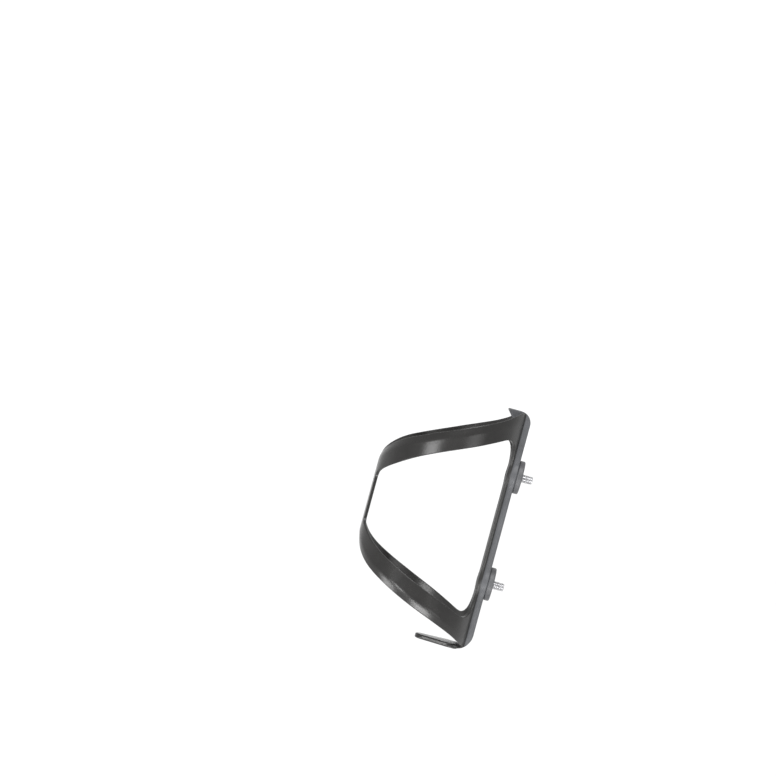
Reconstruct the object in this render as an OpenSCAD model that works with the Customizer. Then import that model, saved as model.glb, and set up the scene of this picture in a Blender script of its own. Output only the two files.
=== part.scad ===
// Water bottle cage with its mounting hardware.
// A one-piece plastic cage (two arms crossing into a single front strip, a back
// rail, an upper hook and a bottom foot), two round spacers, and two M5 button
// head bolts with washers. X is sideways, -Y faces the bottle, +Y faces the
// bike tube, +Z runs up the bottle. Origin: midway between the two bolts, on the
// plane of the spacers' rear faces.

/* [Bottle and wall] */
// Bottle diameter the cage is made for
bottle_d = 73; // [70:0.5:76]
// Thickness of the arms
wall = 1.8; // [1.5:0.1:3]
// Distance from the spacers' rear plane to the bottle axis
axis_y = 44.6; // [43:0.1:47]

/* [Arms] */
// Height of the upper arms' top edge at the front centre
top_front = 25.6; // [20:0.1:32]
// Height of the upper arms' top edge where it meets the rail
top_back = 69.8; // [60:0.1:75]
// Height of the window's upper edge, carried on to the front centre
win_top_front = 10.5; // [8:0.1:18]
// Height of the window's upper edge, carried on to the rail
win_top_back = 58; // [50:0.5:64]
// Depth of the window's lower edge, carried on to the front centre
win_low_front = 11; // [8:0.1:18]
// Depth of the window's lower edge, carried on to the rail
win_low_back = 57.5; // [50:0.5:64]
// Depth of the lower arms' bottom edge at the front centre
low_front = 24.2; // [20:0.1:32]
// Depth of the lower arms' bottom edge where it meets the rail
low_back = 70.6; // [60:0.1:75]
// Upward bow of the upper arms' top edge at mid arm
bow = 0.8; // [0:0.1:3]
// Upward bow of the window's upper edge
win_bow = 1.5; // [0:0.1:4]
// Downward bow of the window's lower edge
win_bow_low = 2.6; // [0:0.1:4]
// Downward bow of the lower arms' bottom edge at mid arm
bow_low = 3.2; // [0:0.1:4]
// Width of the single front strip
strip_w = 13; // [10:0.5:20]
// Width of the arm shell left beside the rail
flange_w = 18.4; // [16:0.2:24]
// Height of the window's rounded corners at the rail
corner_h = 23; // [10:0.5:28]
// Height of the window's rounded corners at the front strip
front_corner_h = 2; // [1:0.5:6]

/* [Back rail] */
// Width of the rail
rail_w = 15; // [12:0.5:20]
// Rounding of the rail's rear edges
rail_edge_r = 1.2; // [0.6:0.1:2]
// Radius of the round lobe at each bolt
lobe_r = 9.75; // [9:0.05:12]
// Height of the rail's top
rail_top = 69.6; // [66:0.1:76]
// Depth of the rail's bottom
rail_low = 72.8; // [68:0.1:78]
// Radius of the rail's rounded top rear corner
top_round = 7; // [3:0.5:10]
// Radius of the rail's rounded bottom rear corner
low_round = 10; // [3:0.5:12]

/* [Hook and foot] */
// How far the upper hook's tip stands forward of the spacers' rear plane
hook_reach = 17.7; // [14:0.1:22]
// Thickness of the bottom foot
foot_t = 2.7; // [2:0.1:4]
// Widest width of the bottom foot
foot_w = 22; // [16:0.5:30]
// How far the foot's tip stands forward of the spacers' rear plane
foot_reach = 36; // [28:0.5:50]

/* [Spacers] */
// Spacer diameter
spacer_d = 19.5; // [16:0.5:24]
// Spacer thickness
spacer_t = 3.4; // [2:0.1:8]
// Spacer hole diameter
spacer_hole = 5.4; // [5.2:0.1:6]

/* [Fasteners] */
// Distance between the two bolts
bolt_pitch = 64; // [64:1:74]
// Bolt thread diameter
bolt_d = 5; // [4:1:6]
// Length of the bolt under its head
bolt_len = 12; // [10:1:20]
// Diameter of the bolt head
head_d = 9.5; // [8:0.1:12]
// Height of the bolt head
head_h = 2.65; // [1.8:0.05:3.5]
// Hexagon socket across flats
hex_af = 3; // [2.5:0.5:4]
// Washer diameter
washer_d = 10; // [9:0.5:12]
// Washer thickness
washer_t = 0.5; // [0.4:0.1:1]
// Width of the bolt slots in the rail
slot_w = 5.5; // [5.2:0.1:6.5]
// Overall length of the bolt slots in the rail
slot_l = 9; // [6:0.5:12]
// Plastic left under the washer
seat_t = 1.5; // [1.2:0.1:3]

/* [Hidden] */
$fn = 96;

ri = bottle_d / 2;
ro = ri + wall;
yc = -axis_y;
play = 0.02;
seat_y = -spacer_t - seat_t;
step = 7.5;
bore_h = 300;

// outline heights against the wrap angle: 0 at the front centre, 180 at the rail
function ramp(a, front, back, b) = front + (back - front) * a / 165 + 4 * b * (a / 165) * (1 - a / 165);
function corner(a, a0, a1, h) = let (t = min(1, max(0, (a - a0) / (a1 - a0)))) h * (1 - sqrt(1 - t * t));
function y_at(a) = yc - ro * cos(a);
function top_z(a) = min(ramp(a, top_front, top_back, bow), rail_top - 1);
function low_z(a) = max(-ramp(a, low_front, low_back, bow_low), foot_t - rail_low);
function win_top_z(a) = ramp(a, win_top_front, win_top_back, win_bow) - corner(a, 138, 166, corner_h) - corner(22 - a, 0, 14, front_corner_h);
function win_low_z(a) = -ramp(a, win_low_front, win_low_back, win_bow_low) + corner(a, 138, 166, corner_h) + corner(22 - a, 0, 14, front_corner_h);

// a (Y, Z) profile carried right across X
module across(w) {
    rotate([90, 0, 90]) translate([0, 0, -w / 2]) linear_extrude(w) children();
}

module outline_2d() {
    polygon(concat(
        [[yc - ro - 5, top_front]],
        [for (a = [step : step : 172.5]) [y_at(a), top_z(a)]],
        [[-5, rail_top - 2], [0, rail_top - 8], [0, 4 - rail_low], [-5, foot_t - rail_low]],
        [for (a = [172.5 : -step : step]) [y_at(a), low_z(a)]],
        [[yc - ro - 5, -low_front]]));
}

module window_2d() {
    polygon(concat(
        [[yc - ro - 5, win_top_z(8)]],
        [for (a = [8 : 5 : 163]) [y_at(a), win_top_z(a)]],
        [[0, win_top_z(166)], [0, win_low_z(166)]],
        [for (a = [163 : -5 : 8]) [y_at(a), win_low_z(a)]],
        [[yc - ro - 5, win_low_z(8)]]));
}

module arms() {
    difference() {
        intersection() {
            translate([0, yc, -100]) cylinder(r = ro, h = 200);
            across(4 * ro) outline_2d();
        }
        difference() {
            across(4 * ro) window_2d();
            translate([-strip_w / 2, yc - ro - 10, -100]) cube([strip_w, ro + 10, 200]);
            translate([-flange_w / 2, yc, -100]) cube([flange_w, ro + 60, 200]);
        }
    }
}

module rail_section() {
    hull_y = -spacer_t;
    front = yc + ri * 0.9;
    difference() {
        translate([-rail_w / 2, front]) square([rail_w, hull_y - front]);
        for (s = [-1, 1]) difference() {
            translate([s * (rail_w / 2 - rail_edge_r / 2) - rail_edge_r / 2, hull_y - rail_edge_r])
                square([rail_edge_r, rail_edge_r + 1]);
            translate([s * (rail_w / 2 - rail_edge_r), hull_y - rail_edge_r]) circle(r = rail_edge_r);
        }
    }
}

module rail_side_2d() {
    // straight rear face with a large round at each end
    union() {
        translate([yc + ri * 0.9, -rail_low + low_round])
            square([-spacer_t - yc - ri * 0.9, rail_low + rail_top - low_round - top_round]);
        translate([yc + ri * 0.9, rail_top - top_round - 1])
            square([-spacer_t - top_round - yc - ri * 0.9, top_round + 1]);
        translate([-spacer_t - top_round, rail_top - top_round]) circle(r = top_round);
        translate([yc + ri * 0.9, -rail_low])
            square([-spacer_t - low_round - yc - ri * 0.9, low_round + 1]);
        translate([-spacer_t - low_round, -rail_low + low_round]) circle(r = low_round);
    }
}

module rail() {
    intersection() {
        translate([0, 0, -100]) linear_extrude(200) rail_section();
        across(60) rail_side_2d();
    }
}

module lobe(z) {
    translate([0, -spacer_t, z]) rotate([90, 0, 0]) cylinder(r = lobe_r, h = 8);
}

module hook() {
    across(rail_w) polygon([
        [-6, rail_top - 14], [-6, rail_top - 2.6], [-spacer_t - top_round, rail_top],
        [-hook_reach + 0.7, rail_top], [-hook_reach, rail_top - 0.7],
        [-hook_reach + 0.7, rail_top - 1.7], [-8, rail_top - 12]]);
}

module foot() {
    // a flat tongue that starts inside the rail's rounded bottom corner
    intersection() {
        translate([0, 0, -rail_low]) linear_extrude(foot_t) union() {
            polygon([
                [-rail_w / 2, -spacer_t], [rail_w / 2, -spacer_t], [rail_w / 2, -9], [foot_w / 2, -14.5], [foot_w / 2, -17],
                [6, 5.5 - foot_reach], [-6, 5.5 - foot_reach], [-foot_w / 2, -17], [-foot_w / 2, -14.5], [-rail_w / 2, -9]]);
            translate([0, 6.4 - foot_reach]) circle(r = 6.4);
        }
        across(60) union() {
            translate([-foot_reach - 5, -rail_low - 5]) square([foot_reach + 5 - spacer_t - low_round, 15]);
            translate([-spacer_t - low_round, -rail_low + low_round]) circle(r = low_round);
        }
    }
}

module stadium(r, span, y0, y1, z) {
    translate([0, y0, z]) rotate([-90, 0, 0]) union() {
        translate([0, -span / 2, 0]) cylinder(r = r, h = y1 - y0);
        translate([0, span / 2, 0]) cylinder(r = r, h = y1 - y0);
        translate([-r, -span / 2, 0]) cube([2 * r, span, y1 - y0]);
    }
}

module cage_body() {
    span = slot_l - slot_w;
    color([0.045, 0.045, 0.048]) difference() {
        union() {
            difference() {
                union() {
                    arms();
                    rail();
                    lobe(bolt_pitch / 2);
                    lobe(-bolt_pitch / 2);
                }
                translate([0, yc, -110]) cylinder(r = ri, h = 250);
            }
            hook();
            foot();
        }
        for (s = [-1, 1]) {
            stadium(slot_w / 2, span, -20, 5, s * bolt_pitch / 2);
            stadium(washer_d / 2 + 0.4, span, -20, seat_y, s * bolt_pitch / 2);
        }
    }
}

module spacer(z) {
    e = 0.8;
    r = spacer_d / 2;
    translate([0, 0, z]) rotate([90, 0, 0]) rotate_extrude() polygon([
        [spacer_hole / 2, 0], [r - e, 0], [r, e], [r, spacer_t - e], [r - e, spacer_t], [spacer_hole / 2, spacer_t]]);
}

module washer(z) {
    translate([0, seat_y - play, z]) rotate([90, 0, 0]) difference() {
        cylinder(d = washer_d, h = washer_t);
        translate([0, 0, -1]) cylinder(d = bolt_d + 0.3, h = washer_t + 2);
    }
}

module bolt(z) {
    under = seat_y - washer_t - 2 * play;
    dome_c = -2.55;
    dome_r = sqrt(pow(head_d / 2, 2) + pow(0.5 - dome_c, 2));
    translate([0, under, z]) rotate([90, 0, 0]) difference() {
        union() {
            intersection() {
                cylinder(d = head_d, h = head_h);
                translate([0, 0, dome_c]) sphere(r = dome_r);
            }
            // shank at the thread's pitch diameter inside the cage and spacer, then the free end
            translate([0, 0, under]) cylinder(d = bolt_d - 0.5, h = 0.5 - under);
            translate([0, 0, -bolt_len + 0.6]) cylinder(d = bolt_d, h = bolt_len - 0.6 + under);
            translate([0, 0, -bolt_len]) cylinder(d1 = bolt_d - 1.2, d2 = bolt_d, h = 0.6);
        }
        translate([0, 0, head_h - 1.5]) cylinder(r = hex_af / 2 / cos(30), h = 3, $fn = 6);
    }
}

module upper_spacer() { color([0.06, 0.06, 0.062]) spacer(bolt_pitch / 2); }
module lower_spacer() { color([0.06, 0.06, 0.062]) spacer(-bolt_pitch / 2); }
module upper_washer() { color([0.7, 0.7, 0.71]) washer(bolt_pitch / 2); }
module lower_washer() { color([0.7, 0.7, 0.71]) washer(-bolt_pitch / 2); }
module upper_bolt() { color([0.62, 0.62, 0.64]) bolt(bolt_pitch / 2); }
module lower_bolt() { color([0.62, 0.62, 0.64]) bolt(-bolt_pitch / 2); }

cage_body();
upper_spacer();
lower_spacer();
upper_washer();
lower_washer();
upper_bolt();
lower_bolt();
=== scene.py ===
import math

import bpy
import numpy as np
from mathutils import Matrix, Vector


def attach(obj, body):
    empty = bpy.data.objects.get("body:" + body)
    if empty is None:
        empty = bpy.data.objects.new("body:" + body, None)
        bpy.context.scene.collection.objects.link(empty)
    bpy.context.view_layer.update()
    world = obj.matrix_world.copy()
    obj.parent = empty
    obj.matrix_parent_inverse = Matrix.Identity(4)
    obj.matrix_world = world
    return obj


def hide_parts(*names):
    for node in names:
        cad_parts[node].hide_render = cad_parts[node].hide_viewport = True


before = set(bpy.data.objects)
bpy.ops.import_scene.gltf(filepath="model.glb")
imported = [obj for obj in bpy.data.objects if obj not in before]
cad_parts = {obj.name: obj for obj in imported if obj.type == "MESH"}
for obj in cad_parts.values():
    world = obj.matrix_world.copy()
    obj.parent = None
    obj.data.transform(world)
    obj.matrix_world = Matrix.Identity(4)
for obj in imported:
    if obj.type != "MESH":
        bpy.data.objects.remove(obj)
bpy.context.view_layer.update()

# ----------------------------------------------------------------------------
# Sizes, in millimetres, in the frame of the CAD model
# ----------------------------------------------------------------------------
RI = 36.5            # inner radius of the arms, half the bottle
WALL = 1.8
RO = RI + WALL - 0.012
RM = RI + WALL / 2
YC = -44.6           # bottle axis
PITCH = 64.0         # between the bolts
SAG = 0.6
RAIL_TOP, RAIL_LOW = 69.6, 72.8
SPACER_T = 3.4
MM = 0.001


# ----------------------------------------------------------------------------
# Small kit: smooth curves, distance fields and a surface extractor
# ----------------------------------------------------------------------------
def curve(stations):
    """A smooth curve through (angle, height) stations, as a function of angle, sagging by SAG at the arms' sides."""
    a = np.array([p[0] for p in stations], float)
    z = np.array([p[1] for p in stations], float) - SAG * np.abs(np.sin(np.radians(a)))
    m = np.gradient(z, a)

    def f(q):
        q = np.clip(np.asarray(q, float), a[0], a[-1])
        i = np.clip(np.searchsorted(a, q) - 1, 0, len(a) - 2)
        h = a[i + 1] - a[i]
        t = (q - a[i]) / h
        return (
            (2 * t**3 - 3 * t**2 + 1) * z[i]
            + (t**3 - 2 * t**2 + t) * h * m[i]
            + (-2 * t**3 + 3 * t**2) * z[i + 1]
            + (t**3 - t**2) * h * m[i + 1]
        )

    return f


def both_ends(stations):
    """Mirrors stations given from 0 to 180 degrees about both ends."""
    left = [(-a, z) for a, z in stations if 0 < a <= 40][::-1]
    right = [(360 - a, z) for a, z in stations if 140 <= a < 180][::-1]
    return left + stations + right


def rmax(q, *ds):
    """Intersection of solids, with its edges rounded to radius q."""
    s = 0.0
    top = None
    for d in ds:
        s = s + np.maximum(d + q, 0.0) ** 2
        top = d if top is None else np.maximum(top, d)
    return np.minimum(top + q, 0.0) + np.sqrt(s) - q


def smin(a, b, k):
    """Union of two solids, with a fillet of about k."""
    h = np.maximum(k - np.abs(a - b), 0.0) / k
    return np.minimum(a, b) - h * h * k * 0.25


def seg_dist(px, pz, line):
    """Distance from points to a polyline."""
    best = np.full(px.shape, 1e9, np.float32)
    for (x0, z0), (x1, z1) in zip(line[:-1], line[1:]):
        dx, dz = x1 - x0, z1 - z0
        t = np.clip(((px - x0) * dx + (pz - z0) * dz) / (dx * dx + dz * dz + 1e-12), 0, 1)
        ex, ez = px - x0 - t * dx, pz - z0 - t * dz
        np.minimum(best, ex * ex + ez * ez, out=best)
    return np.sqrt(best)


def stadium(x, z, r, span):
    return np.hypot(x, np.maximum(np.abs(z) - span / 2, 0)) - r


CORNERS = np.array([[i >> 2 & 1, i >> 1 & 1, i & 1] for i in range(8)])
EDGES = [(a, b) for a in range(8) for b in range(a + 1, 8) if bin(a ^ b).count("1") == 1]


def gradient(f, p, e=0.01):
    g = np.empty_like(p)
    for i in range(3):
        d = np.zeros(3)
        d[i] = e
        g[:, i] = (f(p + d) - f(p - d)) / (2 * e)
    return g


def surface(f, lo, hi, h, mirror_x=False, block=4):
    """Points and quads of the surface f = 0, one point per crossed cell of size h, each moved onto the surface."""
    lo, hi = np.array(lo, float), np.array(hi, float)
    if mirror_x:
        lo[0] = 0.0
    nb = np.ceil((hi - lo) / (h * block)).astype(int) + 1
    n = nb * block
    shape = tuple(n)
    cent = [lo[i] + (np.arange(nb[i]) * block + (block - 1) / 2) * h for i in range(3)]
    cx, cy, cz = np.meshgrid(*cent, indexing="ij")
    c = np.stack([cx.ravel(), cy.ravel(), cz.ravel()], 1)
    fc = f(c)
    near = np.abs(fc) < h * block * 0.87 * 1.5 + h
    big = np.where(fc < 0, -9.0, 9.0).astype(np.float32).reshape(tuple(nb))
    F = np.repeat(np.repeat(np.repeat(big, block, 0), block, 1), block, 2)
    off = np.stack(np.meshgrid(*[np.arange(block)] * 3, indexing="ij"), -1).reshape(-1, 3)
    base = np.stack(np.unravel_index(np.nonzero(near)[0], tuple(nb)), 1) * block
    for s in range(0, len(base), 4000):
        idx = (base[s : s + 4000, None, :] + off[None]).reshape(-1, 3)
        F[idx[:, 0], idx[:, 1], idx[:, 2]] = f(lo + idx * h)
    if mirror_x:
        F = np.concatenate([F[:0:-1], F], 0)
        lo = lo.copy()
        lo[0] = -(shape[0] - 1) * h
    inside = F < 0
    ins = sum(inside[i : i - 1 or None, j : j - 1 or None, k : k - 1 or None].astype(np.int8) for i, j, k in CORNERS)
    cell = np.argwhere((ins > 0) & (ins < 8))
    val = np.stack([F[cell[:, 0] + i, cell[:, 1] + j, cell[:, 2] + k] for i, j, k in CORNERS], 1)
    acc, cnt = np.zeros((len(cell), 3)), np.zeros((len(cell), 1))
    for a, b in EDGES:
        cross = (val[:, a] < 0) != (val[:, b] < 0)
        t = val[cross, a] / (val[cross, a] - val[cross, b])
        acc[cross] += CORNERS[a] + (CORNERS[b] - CORNERS[a]) * t[:, None]
        cnt[cross] += 1
    p = lo + (cell + acc / cnt) * h
    vid = np.full(ins.shape, -1, np.int32)
    vid[cell[:, 0], cell[:, 1], cell[:, 2]] = np.arange(len(cell))
    quads = []
    for ax in range(3):
        u, v = [(1, 2), (2, 0), (0, 1)][ax]
        sl0 = [slice(None)] * 3
        sl1 = [slice(None)] * 3
        sl0[ax], sl1[ax] = slice(None, -1), slice(1, None)
        s0, s1 = inside[tuple(sl0)], inside[tuple(sl1)]
        e = np.argwhere(s0 != s1)
        e = e[(e[:, u] > 0) & (e[:, v] > 0) & (e[:, u] < ins.shape[u]) & (e[:, v] < ins.shape[v])]
        d = [e.copy() for _ in range(4)]
        d[0][:, u] -= 1
        d[0][:, v] -= 1
        d[1][:, v] -= 1
        d[3][:, u] -= 1
        q = np.stack([vid[k[:, 0], k[:, 1], k[:, 2]] for k in d], 1)
        flip = ~s0[e[:, 0], e[:, 1], e[:, 2]]
        q[flip] = q[flip][:, ::-1]
        quads.append(q)
    quads = np.concatenate(quads)
    for _ in range(4):
        g = gradient(f, p)
        step = (f(p) / np.maximum((g * g).sum(1), 1e-6))[:, None] * g
        size = np.linalg.norm(step, axis=1, keepdims=True)
        p -= step * np.minimum(1, 0.5 * h / np.maximum(size, 1e-9))
    return p, quads


def mesh_from(name, p, faces, f=None, faces_left=None):
    """A mesh object in metres. With f, its normals come from the solid's own surface."""
    me = bpy.data.meshes.new(name)
    me.vertices.add(len(p))
    me.vertices.foreach_set("co", (p * MM).astype(np.float32).ravel())
    n = faces.shape[1]
    me.loops.add(faces.size)
    me.loops.foreach_set("vertex_index", faces.ravel().astype(np.int32))
    me.polygons.add(len(faces))
    me.polygons.foreach_set("loop_start", np.arange(0, faces.size, n, dtype=np.int32))
    me.update(calc_edges=True)
    me.validate()
    obj = bpy.data.objects.new(name, me)
    bpy.context.scene.collection.objects.link(obj)
    if faces_left and faces_left < 2 * len(faces):
        mod = obj.modifiers.new("thin", "DECIMATE")
        mod.ratio = faces_left / (2 * len(faces))
        dg = bpy.context.evaluated_depsgraph_get()
        new = bpy.data.meshes.new_from_object(obj.evaluated_get(dg))
        obj.modifiers.clear()
        obj.data = new
        bpy.data.meshes.remove(me)
        me = new
        me.name = name
    me.polygons.foreach_set("use_smooth", np.ones(len(me.polygons), bool))
    if f is not None:
        v = np.empty(len(me.vertices) * 3, np.float32)
        me.vertices.foreach_get("co", v)
        g = gradient(f, v.reshape(-1, 3).astype(float) / MM)
        g /= np.maximum(np.linalg.norm(g, axis=1, keepdims=True), 1e-9)
        me.normals_split_custom_set_from_vertices([tuple(x) for x in g])
    return obj


# ----------------------------------------------------------------------------
# The cage: arm outlines against the wrap angle, 0 at the front, 180 at the rail
# ----------------------------------------------------------------------------
TOP = curve(both_ends([(0, 26.3), (6, 27.0), (12, 28.5), (20, 30.8), (30, 33.8), (40, 36.9), (50, 39.8), (60, 42.4),
                       (70, 45.1), (80, 47.9), (90, 50.7), (100, 53.6), (110, 56.3), (120, 58.9), (130, 61.4),
                       (140, 64.0), (150, 66.6), (160, 68.6), (170, 69.4), (180, 69.6)]))
LOW = curve(both_ends([(0, -24.9), (6, -25.9), (12, -28.0), (20, -31.0), (30, -34.7), (40, -38.0), (50, -41.0),
                       (60, -43.9), (70, -46.8), (80, -49.7), (90, -52.4), (100, -55.0), (110, -57.5), (120, -60.0),
                       (130, -62.4), (140, -64.8), (150, -67.2), (160, -69.2), (170, -70.2), (180, -70.4)]))
WIN_TOP = curve([(-20, 10.0), (0, 11.3), (9, 13.6), (20, 17.0), (30, 19.8), (40, 22.7), (50, 25.9), (60, 29.2), (70, 32.4),
                 (80, 35.4), (90, 38.3), (100, 41.1), (110, 43.8), (120, 46.5), (130, 49.1), (140, 51.6), (150, 54.0),
                 (160, 56.4), (170, 58.8)])
WIN_LOW = curve([(-20, -9.0), (0, -11.6), (9, -14.6), (20, -18.0), (30, -21.5), (40, -24.8), (50, -27.9), (60, -30.8),
                 (70, -33.7), (80, -36.5), (90, -39.3), (100, -42.0), (110, -44.6), (120, -47.2), (130, -49.7),
                 (140, -52.1), (150, -54.5), (160, -56.9), (170, -59.3)])
WIN_A0, WIN_A1 = math.degrees(6.5 / RM), 166.2
BEVEL_W, BEVEL_T = 3.8, math.tan(math.radians(14))
MAIN_T = math.tan(math.radians(6))


def smooth(v, a, b):
    t = np.clip((v - a) / (b - a), 0, 1)
    return t * t * (3 - 2 * t)


def corner(a, a0, a1, h):
    t = np.clip((a - a0) / (a1 - a0), 0, 1)
    return h * (1 - np.sqrt(np.maximum(1 - t * t, 0)))


def window_loop():
    a = np.concatenate([WIN_A0 + 4 * (1 - np.cos(np.linspace(0, math.pi / 2, 8))), np.arange(WIN_A0 + 5, 138, 2.0),
                        138 + (WIN_A1 - 138) * np.sin(np.linspace(0, math.pi / 2, 28))])
    up = WIN_TOP(a) - corner(a, 138, WIN_A1, 23.5) - corner(-a, -WIN_A0 - 4, -WIN_A0, 2.6)
    dn = WIN_LOW(a) + corner(a, 138, WIN_A1, 22.5) + corner(-a, -WIN_A0 - 4, -WIN_A0, 2.6)
    s = np.radians(a) * RM
    pts = list(zip(s, up)) + list(zip(s[::-1], dn[::-1]))
    return pts + [pts[0]], (a, up, dn)


GS, GZ, GH = -3.0, -76.0, 0.25
_s = GS + np.arange(int(124 / GH)) * GH
_z = GZ + np.arange(int(150 / GH)) * GH


def arm_fields():
    """Signed distance, on the unrolled arm sheet, to its whole outline and to its outer edges only."""
    S, Z = np.meshgrid(_s, _z, indexing="ij")
    S, Z = S.astype(np.float32), Z.astype(np.float32)
    A = np.degrees(S / RM)
    aa = np.arange(-34, 214.1, 2.0)
    ss = np.radians(aa) * RM
    top = seg_dist(S, Z, list(zip(ss, TOP(aa)))) * np.where(Z > TOP(A), 1, -1)
    low = seg_dist(S, Z, list(zip(ss, LOW(aa)))) * np.where(Z < LOW(A), 1, -1)
    loop, (wa, up, dn) = window_loop()
    hole = (A > WIN_A0) & (A < WIN_A1) & (Z < np.interp(A, wa, up)) & (Z > np.interp(A, wa, dn))
    win = seg_dist(S, Z, loop) * np.where(hole, -1, 1)
    # the outer edges alone, and the whole outline with the window cut out
    outer = np.maximum(top, low)
    return np.maximum(outer, -win).astype(np.float32), outer.astype(np.float32)


FIELD, FIELD_OUT = arm_fields()


def sample(grid, s, z):
    u = np.clip((s - GS) / GH, 0, grid.shape[0] - 1.001)
    v = np.clip((z - GZ) / GH, 0, grid.shape[1] - 1.001)
    i, j = u.astype(int), v.astype(int)
    u, v = u - i, v - j
    return (grid[i, j] * (1 - u) * (1 - v) + grid[i + 1, j] * u * (1 - v) + grid[i, j + 1] * (1 - u) * v
            + grid[i + 1, j + 1] * u * v)


def cage(p):
    x, y, z = np.abs(p[:, 0]), p[:, 1], p[:, 2]
    yy = y - YC
    r = np.hypot(x, yy)
    s = np.arctan2(x, -yy) * RM
    d2, dout = sample(FIELD, s, z), sample(FIELD_OUT, s, z)
    # arms: outer face, sloping slightly inwards from a ridge, with a wide bevel along the outer edges
    a = np.degrees(s / RM)
    fade = smooth(a, 8, 30) * (1 - smooth(a, 122, 148))
    face = r - RO + np.clip(-dout - BEVEL_W, 0, 9) * MAIN_T * fade
    bevel = (r - RO + (BEVEL_W + dout) * BEVEL_T) * math.cos(math.atan(BEVEL_T))
    skin = rmax(0.35, face, bevel)
    arms = rmax(0.35, skin, d2)
    # rail
    side = x - 7.5
    qy, qz = y + SPACER_T + 7.0, z - RAIL_TOP + 7.0
    ptop = np.minimum(np.maximum(qy, qz), 0) + np.hypot(np.maximum(qy, 0), np.maximum(qz, 0)) - 7.0
    qy, qz = y + SPACER_T + 10.0, -z - RAIL_LOW + 10.0
    plow = np.minimum(np.maximum(qy, qz), 0) + np.hypot(np.maximum(qy, 0), np.maximum(qz, 0)) - 10.0
    ends = np.maximum(ptop, plow)
    rail = rmax(1.1, side, ends, -14.0 - y)
    lobe = rmax(0.5, np.hypot(x, np.abs(z) - PITCH / 2) - 9.75, y + SPACER_T, -14.0 - y)
    back = np.maximum(smin(rail, lobe, 1.0), y + SPACER_T)
    body = smin(back, arms, 1.8)
    body = rmax(0.35, body, RI - r)
    # hook
    slope = -0.755 * (y + 17.0) - 0.656 * (z - RAIL_TOP + 1.6)
    hook = rmax(0.6, ptop, slope, -17.7 - y, side, y + 5.0)
    body = smin(body, hook, 0.7)
    # foot: a tongue with a round tip
    fx, fy = x, -(y + 15.5)
    r1, r2, ln = 11.0, 6.2, 14.3
    b = (r1 - r2) / ln
    a = math.sqrt(1 - b * b)
    k = -b * fx + a * fy
    tongue = np.where(k < 0, np.hypot(fx, fy) - r1, np.where(k > a * ln, np.hypot(fx, fy - ln) - r2, fx * a + fy * b - r1))
    tongue = rmax(1.0, tongue, y + 10.8)
    neck = np.maximum(x - 7.5, y + 6.0)
    tongue = np.minimum(tongue, np.maximum(neck, -16.0 - y))
    foot = rmax(0.7, tongue, z + RAIL_LOW - 2.7, plow, y + 5.0)
    body = np.maximum(smin(body, foot, 2.6), ends)
    # seats for the washers and slots for the bolts
    zz = np.abs(z) - PITCH / 2
    seat = rmax(0.3, stadium(x, zz, 5.4, 3.5), y + 4.9, -20 - y)
    slot = np.maximum(stadium(x, zz, 2.75, 3.5), -20 - y)
    return rmax(0.3, body, -seat, -slot)


def plastic_piece():
    h = 0.4
    p, quads = surface(cage, (0, -84.5, -74), (40, -1.5, 72), h, mirror_x=True)
    return mesh_from("cage_moulding", p, quads, cage, 190000)


# ----------------------------------------------------------------------------
# Turned pieces and bolts
# ----------------------------------------------------------------------------
def spacer_field(zc):
    def f(p):
        r = np.hypot(p[:, 0], p[:, 2] - zc)
        body = rmax(0.8, r - 9.75, p[:, 1], -SPACER_T - p[:, 1])
        return rmax(0.2, body, 2.7 - r)
    return f


def washer_field(zc):
    def f(p):
        r = np.hypot(p[:, 0], p[:, 2] - zc)
        return rmax(0.12, r - 5.0, p[:, 1] + 4.92, -5.42 - p[:, 1], 2.65 - r)
    return f


def bolt_field(zc):
    under = -5.44

    def f(p):
        x, z = p[:, 0], p[:, 2] - zc
        y = under - p[:, 1]                     # 0 under the head, + towards the head's top
        r = np.hypot(x, z)
        dome = np.sqrt(r * r + (y + 2.55) ** 2) - math.sqrt(4.75**2 + 3.05**2)
        head = rmax(0.15, r - 4.75, dome, y - 2.65, -y)
        # right-hand thread, 0.8 mm pitch, running out under the head
        turn = np.arctan2(x, z) / (2 * math.pi)
        w = np.abs(((y / 0.8 + turn) % 1.0) - 0.5) * 2
        thread = np.clip(w * 1.35 - 0.12, 0, 1) * 0.42
        fade = np.clip((-y - 0.9) / 0.8, 0, 1)
        shank = rmax(0.08, (r - 2.49 + thread * fade) * 0.75, -12.0 - y, y - 1.0,
                     (r - 1.9 - (y + 12.0)) * 0.7071)
        solid = np.minimum(head, shank)
        hexa = -1e9
        for k in range(3):
            a = math.radians(60 * k)
            hexa = np.maximum(hexa, np.abs(x * math.cos(a) + z * math.sin(a)) - 1.5)
        socket = np.maximum(hexa, 0.75 - y)
        lead = r * 0.7071 - (y - 2.55) * 0.7071 - 1.25
        socket = np.minimum(socket, np.maximum(lead, 2.2 - y))
        return rmax(0.05, solid, -socket)
    return f


def turned(name, f, lo, hi, h, left=None):
    p, q = surface(f, lo, hi, h)
    return mesh_from(name, p, q, f, left)


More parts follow.
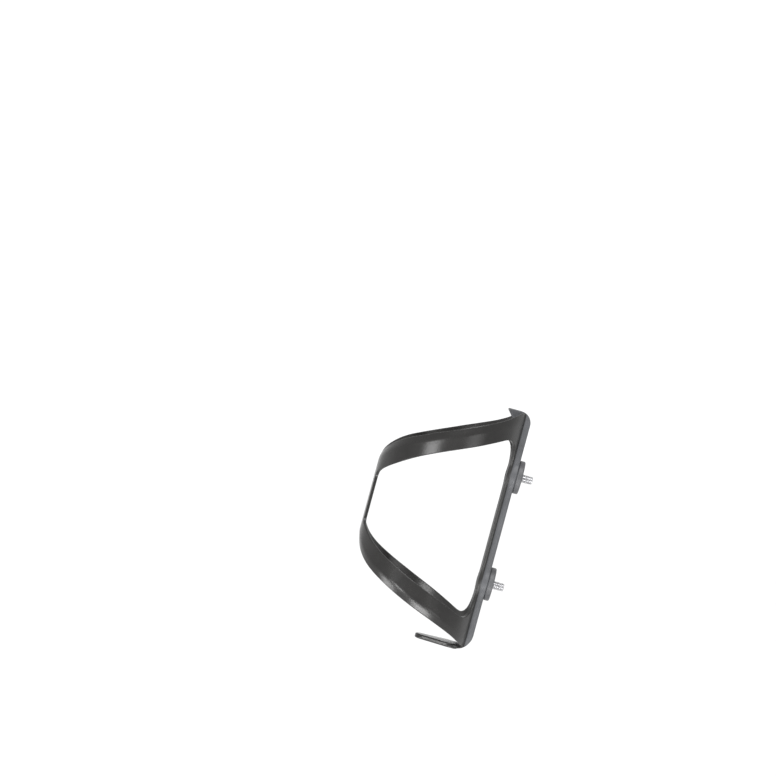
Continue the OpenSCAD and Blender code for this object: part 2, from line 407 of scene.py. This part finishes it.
pieces = {}
pieces["cage_moulding"] = plastic_piece()
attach(pieces["cage_moulding"], "cage")
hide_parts("cage_body")
for tag, zc in (("upper", PITCH / 2), ("lower", -PITCH / 2)):
    o = turned(tag + "_spacer_ring", spacer_field(zc), (-10.5, -4.2, zc - 10.5), (10.5, 0.8, zc + 10.5), 0.35, 24000)
    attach(o, "cage")
    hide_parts(tag + "_spacer")
    pieces[tag + "_spacer_ring"] = o
    o = turned(tag + "_washer_disc", washer_field(zc), (-5.6, -6.0, zc - 5.6), (5.6, -4.4, zc + 5.6), 0.16, 12000)
    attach(o, tag + "_washer_body")
    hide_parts(tag + "_washer")
    pieces[tag + "_washer_disc"] = o
    o = turned(tag + "_button_bolt", bolt_field(zc), (-5.3, -8.8, zc - 5.3), (5.3, 7.2, zc + 5.3), 0.13, 60000)
    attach(o, tag + "_bolt_body")
    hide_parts(tag + "_bolt")
    pieces[tag + "_button_bolt"] = o


# ----------------------------------------------------------------------------
# Materials
# ----------------------------------------------------------------------------
class Nodes:
    def __init__(self, name):
        self.mat = bpy.data.materials.new(name)
        self.mat.use_nodes = True
        self.t = self.mat.node_tree
        self.t.nodes.clear()
        self.out = self.t.nodes.new("ShaderNodeOutputMaterial")
        self.bsdf = self.t.nodes.new("ShaderNodeBsdfPrincipled")
        self.t.links.new(self.bsdf.outputs[0], self.out.inputs[0])
        self.co = self.t.nodes.new("ShaderNodeTexCoord").outputs["Object"]

    def link(self, a, b):
        self.t.links.new(a, b)

    def noise(self, scale, detail=2.0, rough=0.5, co=None):
        n = self.t.nodes.new("ShaderNodeTexNoise")
        n.inputs["Scale"].default_value = scale
        n.inputs["Detail"].default_value = detail
        n.inputs["Roughness"].default_value = rough
        self.link(co or self.co, n.inputs["Vector"])
        return n.outputs["Fac"]

    def voronoi(self, scale):
        n = self.t.nodes.new("ShaderNodeTexVoronoi")
        n.inputs["Scale"].default_value = scale
        self.link(self.co, n.inputs["Vector"])
        return n.outputs["Distance"]

    def span(self, value, a, b, lo=0.0, hi=1.0):
        n = self.t.nodes.new("ShaderNodeMapRange")
        n.inputs["From Min"].default_value = lo
        n.inputs["From Max"].default_value = hi
        n.inputs["To Min"].default_value = a
        n.inputs["To Max"].default_value = b
        self.link(value, n.inputs["Value"])
        return n.outputs["Result"]

    def math(self, op, a, b):
        n = self.t.nodes.new("ShaderNodeMath")
        n.operation = op
        for i, v in enumerate((a, b)):
            if isinstance(v, (int, float)):
                n.inputs[i].default_value = v
            else:
                self.link(v, n.inputs[i])
        return n.outputs[0]

    def ramp(self, value, stops):
        n = self.t.nodes.new("ShaderNodeValToRGB")
        e = n.color_ramp.elements
        while len(e) < len(stops):
            e.new(0.5)
        for k, (pos, col) in zip(e, stops):
            k.position = pos
            k.color = (*col, 1)
        self.link(value, n.inputs["Fac"])
        return n.outputs["Color"]

    def bump(self, height, strength, distance, onto=None):
        n = self.t.nodes.new("ShaderNodeBump")
        if isinstance(strength, (int, float)):
            n.inputs["Strength"].default_value = strength
        else:
            self.link(strength, n.inputs["Strength"])
        n.inputs["Distance"].default_value = distance
        self.link(height, n.inputs["Height"])
        if onto is not None:
            self.link(onto, n.inputs["Normal"])
        return n.outputs["Normal"]

    def axes(self):
        n = self.t.nodes.new("ShaderNodeSeparateXYZ")
        self.link(self.co, n.inputs[0])
        return n.outputs[0], n.outputs[1], n.outputs[2]

    def blend(self, fac, a, b):
        n = self.t.nodes.new("ShaderNodeMix")
        n.data_type = "RGBA"
        self.link(fac, n.inputs[0])
        self.link(a, n.inputs[6])
        self.link(b, n.inputs[7])
        return n.outputs[2]

    def wear(self, lo, hi):
        g = self.t.nodes.new("ShaderNodeNewGeometry")
        return self.span(g.outputs["Pointiness"], 0.0, 1.0, lo, hi)


def plastic(name, dark, light, rough, grain, spec, textured_with_painted_light=None):
    """Moulded plastic. With a (dark, light, rough) tuple, the rail, its lobes and the hook take a duller finish with a
    spark-eroded texture, and a lighter grey base colour that is partly painted light, standing in for the light their
    flat faces catch.
    """
    m = Nodes(name)
    cloud = m.noise(90, 3, 0.55)
    fine = m.noise(2600, 2, 0.6)
    speck = m.math("ADD", m.math("MULTIPLY", cloud, 0.6), m.math("MULTIPLY", fine, 0.4))
    edge = m.wear(0.52, 0.62)
    colour = m.ramp(speck, [(0.3, dark), (0.7, light)])
    r = m.math("ADD", m.span(cloud, rough - 0.04, rough + 0.04, 0.3, 0.7), m.span(fine, -0.03, 0.03))
    r = m.math("ADD", r, m.math("MULTIPLY", edge, 0.06))
    x, y, z = m.axes()
    depth = grain
    if textured_with_painted_light:
        back = m.span(y, 0, 1, -0.0072, -0.0069)
        zz = m.math("SUBTRACT", m.math("ABSOLUTE", z, 0.0), 0.032)
        rr = m.math("SQRT", m.math("ADD", m.math("MULTIPLY", x, x), m.math("MULTIPLY", zz, zz)), 0.0)
        lobes = m.math("MULTIPLY", m.span(rr, 1, 0, 0.0098, 0.0100), m.span(y, 0, 1, -0.0079, -0.0077))
        back = m.math("MAXIMUM", back, lobes)
        hook = m.math("MULTIPLY", m.span(m.math("ABSOLUTE", x, 0.0), 1, 0, 0.0077, 0.0080), m.span(z, 0, 1, 0.0590, 0.0605))
        finish_and_painted_light_mask = m.math("MAXIMUM", back, hook)
        # painted light in part: the rail, lobes and hook get a lighter grey base colour, standing in for the light
        # their flat faces catch as well as for their duller finish
        colour = m.blend(finish_and_painted_light_mask, colour, m.ramp(speck, [(0.3, textured_with_painted_light[0]), (0.7, textured_with_painted_light[1])]))
        # the polish fades where the arms run into the rail
        fade = m.math("MAXIMUM", m.math("MULTIPLY", m.span(y, 0, 1, -0.0128, -0.0100), 0.6), finish_and_painted_light_mask)
        r = m.math("ADD", r, m.math("MULTIPLY", fade, textured_with_painted_light[2] - rough))
        depth = m.math("ADD", grain, m.math("MULTIPLY", finish_and_painted_light_mask, 0.35))
    m.link(colour, m.bsdf.inputs["Base Color"])
    m.link(r, m.bsdf.inputs["Roughness"])
    n = m.bump(m.voronoi(2300), depth, 0.00006)
    n = m.bump(fine, depth, 0.00004, n)
    n = m.bump(m.noise(60, 2), 0.12, 0.0004, n)
    m.link(n, m.bsdf.inputs["Normal"])
    m.bsdf.inputs["Specular IOR Level"].default_value = spec
    return m.mat


def steel(name, lo, hi, rough):
    m = Nodes(name)
    cloud = m.noise(700, 4, 0.6)
    m.link(m.ramp(cloud, [(0.25, lo), (0.75, hi)]), m.bsdf.inputs["Base Color"])
    m.link(m.span(m.noise(2500, 3, 0.7), rough - 0.07, rough + 0.08, 0.3, 0.7), m.bsdf.inputs["Roughness"])
    m.bsdf.inputs["Metallic"].default_value = 1.0
    n = m.bump(m.noise(1400, 2, 0.6), 0.2, 0.00003)
    m.link(n, m.bsdf.inputs["Normal"])
    return m.mat


# the second colour pair, a lighter grey for the rail, lobes and hook, is partly painted light standing in for the light
# their flat faces catch
cage_mat = plastic("cage_plastic", (0.0055, 0.0053, 0.005), (0.0105, 0.010, 0.0095), 0.25, 0.3, 0.34,
                   ((0.0415, 0.0428, 0.0458), (0.066, 0.0677, 0.0728), 0.46))
spacer_mat = plastic("spacer_plastic", (0.042, 0.0425, 0.045), (0.066, 0.067, 0.071), 0.46, 0.6, 0.36)
washer_mat = steel("washer_steel", (0.5, 0.5, 0.51), (0.66, 0.66, 0.67), 0.3)
bolt_mat = steel("bolt_steel", (0.44, 0.44, 0.45), (0.6, 0.6, 0.61), 0.26)


def dress(obj, mat):
    obj.data.materials.clear()
    obj.data.materials.append(mat)


for name, o in pieces.items():
    dress(o, cage_mat if "cage" in name else spacer_mat if "spacer" in name else washer_mat if "washer" in name else bolt_mat)
for name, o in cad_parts.items():
    mat = cage_mat if "cage" in name else spacer_mat if "spacer" in name else washer_mat if "washer" in name else bolt_mat
    for sl in o.material_slots:
        sl.material = mat

# ----------------------------------------------------------------------------
# Camera, floor and light
# ----------------------------------------------------------------------------
LEAN = math.radians(15.1)
D = 1.720
cam_data = bpy.data.cameras.new("camera")
cam = bpy.data.objects.new("camera", cam_data)
bpy.context.scene.collection.objects.link(cam)
cam_data.sensor_width = 36.0
cam_data.lens = 2970 / 776 * 36.0
cam_data.clip_start, cam_data.clip_end = 0.05, 30
eye = Vector((D, -0.1005, 0.0800))
aim = Vector((0, -0.0883, 0.0624))
fwd = (aim - eye).normalized()
up = Vector((0, -math.sin(LEAN), math.cos(LEAN)))
up = (up - fwd * up.dot(fwd)).normalized()
right = fwd.cross(up)
cam.matrix_world = Matrix((
    (right.x, up.x, -fwd.x, eye.x),
    (right.y, up.y, -fwd.y, eye.y),
    (right.z, up.z, -fwd.z, eye.z),
    (0, 0, 0, 1)))
bpy.context.scene.camera = cam


FLOOR_Z = -0.33


def floor():
    n, R = 96, 9.0
    v, f = [(0, 0, 0)], []
    rings = [0.3, 0.8, 1.8, 4.0, R]
    for rr in rings:
        for i in range(n):
            a = 2 * math.pi * i / n
            v.append((rr * math.cos(a), rr * math.sin(a), 0))
    for i in range(n):
        f.append((0, 1 + i, 1 + (i + 1) % n))
    for k in range(len(rings) - 1):
        for i in range(n):
            a, b = 1 + k * n + i, 1 + k * n + (i + 1) % n
            f.append((a, a + n, b + n, b))
    me = bpy.data.meshes.new("floor")
    me.from_pydata(v, [], f)
    o = bpy.data.objects.new("floor", me)
    o.location = (0, -0.04, FLOOR_Z)
    bpy.context.scene.collection.objects.link(o)
    m = Nodes("floor_paint")
    m.link(m.ramp(m.noise(14, 3), [(0.3, (0.935, 0.935, 0.935)), (0.7, (0.95, 0.95, 0.95))]), m.bsdf.inputs["Base Color"])
    m.link(m.span(m.noise(40, 3), 0.75, 0.9), m.bsdf.inputs["Roughness"])
    m.bsdf.inputs["Specular IOR Level"].default_value = 0.1
    me.materials.append(m.mat)


floor()

world = bpy.data.worlds.new("studio")
bpy.context.scene.world = world
world.use_nodes = True
bg = world.node_tree.nodes["Background"]
bg.inputs[0].default_value = (1, 1, 1, 1)
bg.inputs[1].default_value = 1.09


def softbox(name, target, normal, dist, w, h, radiance, roll=0.0):
    """A soft light placed where the surface at target, facing along normal, mirrors it to the camera."""
    t, n = Vector(target) * MM, Vector(normal).normalized()
    view = (t - eye).normalized()
    r = (view - 2 * view.dot(n) * n).normalized()
    ld = bpy.data.lights.new(name, "AREA")
    ld.shape = "RECTANGLE"
    ld.size, ld.size_y = w, h
    ld.energy = radiance * math.pi * w * h
    lo = bpy.data.objects.new(name, ld)
    lo.location = t + r * dist
    lo.rotation_mode = "QUATERNION"
    lo.rotation_quaternion = (-r).to_track_quat("-Z", "Y")
    bpy.context.scene.collection.objects.link(lo)
    return lo


def on_arm(a, z, tilt_deg, along):
    """A point on the arm at wrap angle a, with its face tilted down; along is the share of the tilt that goes round the arm."""
    s, c = math.sin(math.radians(a)), -math.cos(math.radians(a))
    k = math.tan(math.radians(tilt_deg))
    n = (s - k * c * along, c + k * s * along, -k * math.sqrt(1 - along * along))
    return (RO * s, YC + RO * c, z), n


t, n = on_arm(73, 38, 6.5, 0.38)
softbox("left_box", t, n, 0.9, 0.34, 0.18, 15.0)
t, n = on_arm(107, 47.8, 6.5, 0.38)
softbox("right_box", t, n, 0.9, 0.36, 0.17, 3.9)
t, n = on_arm(66, -43.8, 14, -0.38)
softbox("low_left_box", t, n, 0.32, 0.14, 0.08, 13.5)
t, n = on_arm(100, -53.1, 14, -0.38)
softbox("low_right_box", t, n, 0.32, 0.20, 0.08, 16.0)
e = math.radians(27)
softbox("top_box", (9.75 * math.cos(e), -1.7, 32 + 9.75 * math.sin(e)), (math.cos(e), 0, math.sin(e)), 1.0, 0.55, 0.4, 12.0)

sc = bpy.context.scene
sc.view_settings.view_transform = "Standard"
sc.view_settings.look = "None"
